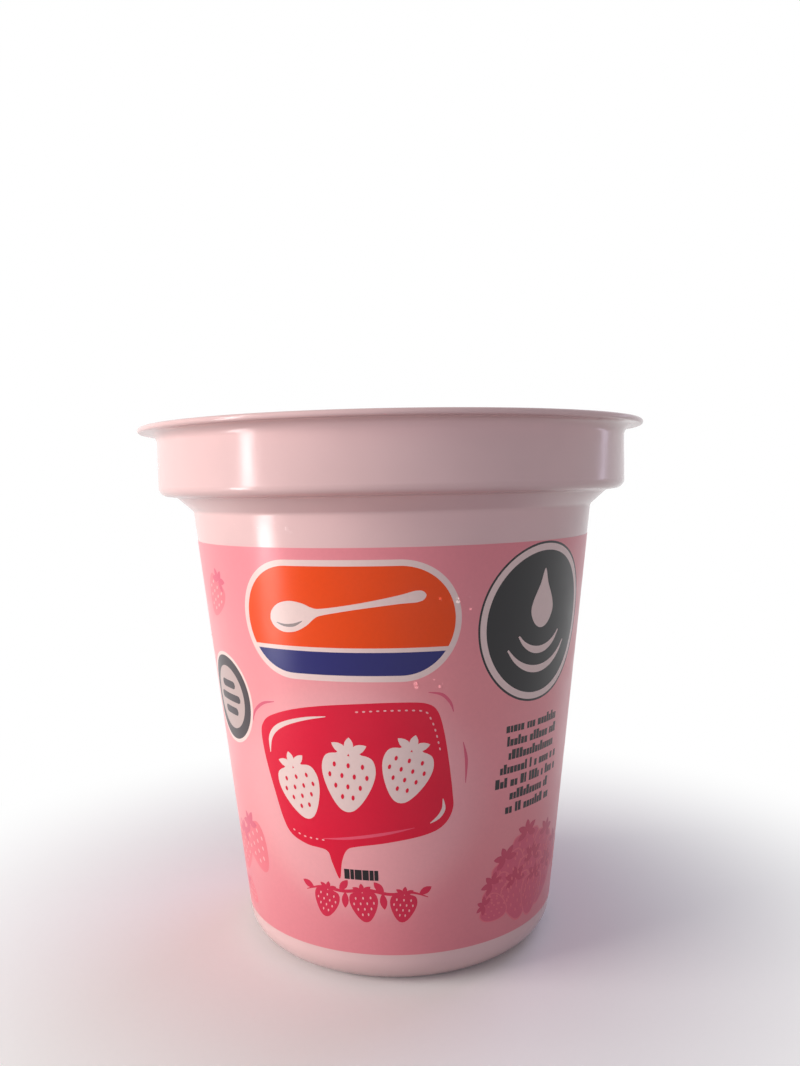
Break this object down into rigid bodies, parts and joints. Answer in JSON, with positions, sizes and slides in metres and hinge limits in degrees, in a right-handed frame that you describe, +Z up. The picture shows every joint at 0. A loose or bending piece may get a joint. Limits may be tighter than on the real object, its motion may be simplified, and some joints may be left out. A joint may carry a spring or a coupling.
{
  "type": "yogurt pot",
  "caption": "Open single-serve yogurt pot: thin tapered plastic cup with a stepped collar, a flat sealing flange, a raised floor and a pale pink printed label.",
  "frame": {"origin": "centre of the circle that the foot ring stands on", "axes": "+Z up along the pot's axis, out of its mouth; the printed front faces -Y"},
  "size_m": [0.075, 0.075, 0.0757],
  "materials": {
    "pot": "warm white moulded polypropylene, satin gloss, with a pale pink printed label on the body"
  },
  "bodies": {
    "root": {"pot": "pot"}
  },
  "joints": []
}
